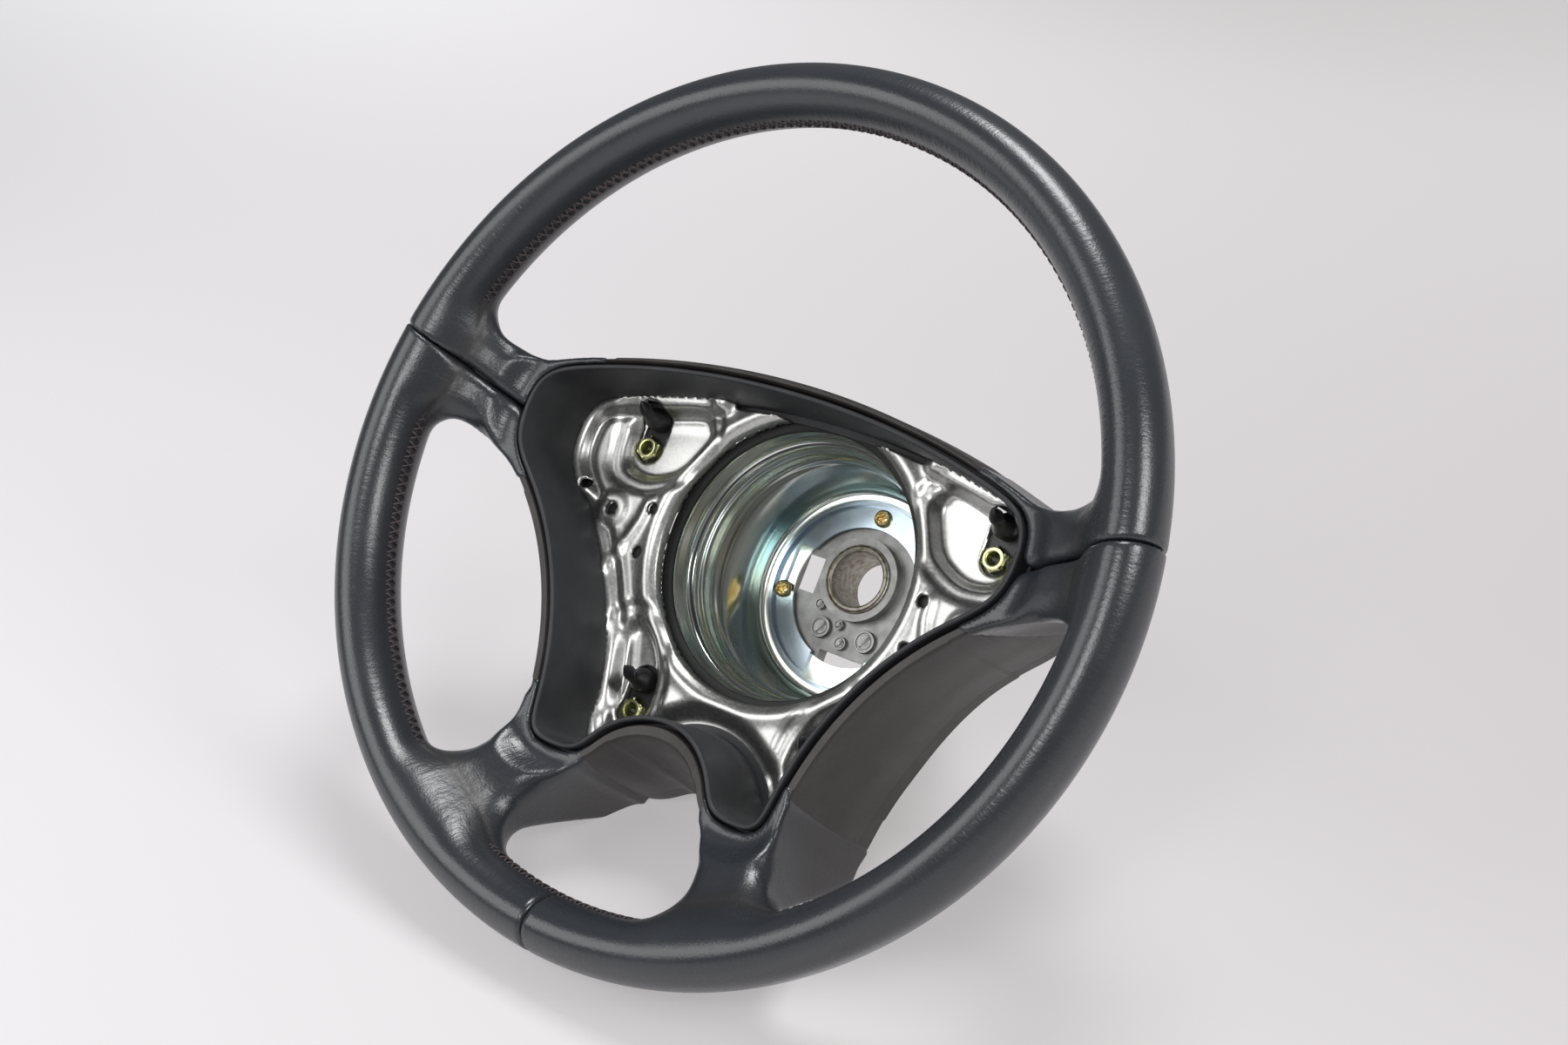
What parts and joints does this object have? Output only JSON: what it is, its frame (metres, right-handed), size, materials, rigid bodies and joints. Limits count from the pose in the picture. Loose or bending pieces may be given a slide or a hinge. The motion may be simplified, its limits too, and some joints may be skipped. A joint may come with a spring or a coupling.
{
  "type": "car steering wheel",
  "caption": "Leather-covered car steering wheel with its airbag removed, showing a stamped carrier plate, a deep plated pot and the hub bush in an open four-spoke cavity.",
  "frame": {"origin": "centre of the column bore at the rear face of the hub bush", "axes": "+Y away from the driver along the column bore, +Z to 12 o'clock, +X to 3 o'clock"},
  "size_m": [0.385, 0.1755, 0.385],
  "materials": {
    "leather": "satin grained hide",
    "liner_plastic": "matte",
    "skirt_plastic": "fine grained matte",
    "galvanised_sheet": "galvanised with spangle",
    "plated_steel": "bright zinc plate",
    "plated_ring": "blue zinc plate",
    "cast_metal": "as cast",
    "bush_steel": "machined",
    "yellow_plating": "yellow zinc plate",
    "insulator_plastic": "moulded",
    "frame_steel": "black primer"
  },
  "bodies": {
    "root": {"rim_ring": "frame_steel", "spider_ring": "frame_steel", "spider_arm_upper_left": "frame_steel", "spider_arm_upper_right": "frame_steel", "spider_arm_lower_left": "frame_steel", "spider_arm_lower_right": "frame_steel", "grip_top": "leather", "grip_lower_left": "leather", "grip_lower_right": "leather", "cavity_liner": "liner_plastic", "rear_skirt": "skirt_plastic", "carrier_plate": "galvanised_sheet", "impact_pot": "plated_steel", "clamp_ring": "plated_ring", "hub_casting": "cast_metal", "column_bush": "bush_steel", "clamp_screws": "yellow_plating", "guide_sleeve_upper_right": "yellow_plating", "peg_insulator_upper_right": "insulator_plastic", "guide_sleeve_upper_left": "yellow_plating", "peg_insulator_upper_left": "insulator_plastic", "guide_sleeve_lower_right": "yellow_plating", "peg_insulator_lower_right": "insulator_plastic", "guide_sleeve_lower_left": "yellow_plating", "peg_insulator_lower_left": "insulator_plastic"}
  },
  "joints": []
}
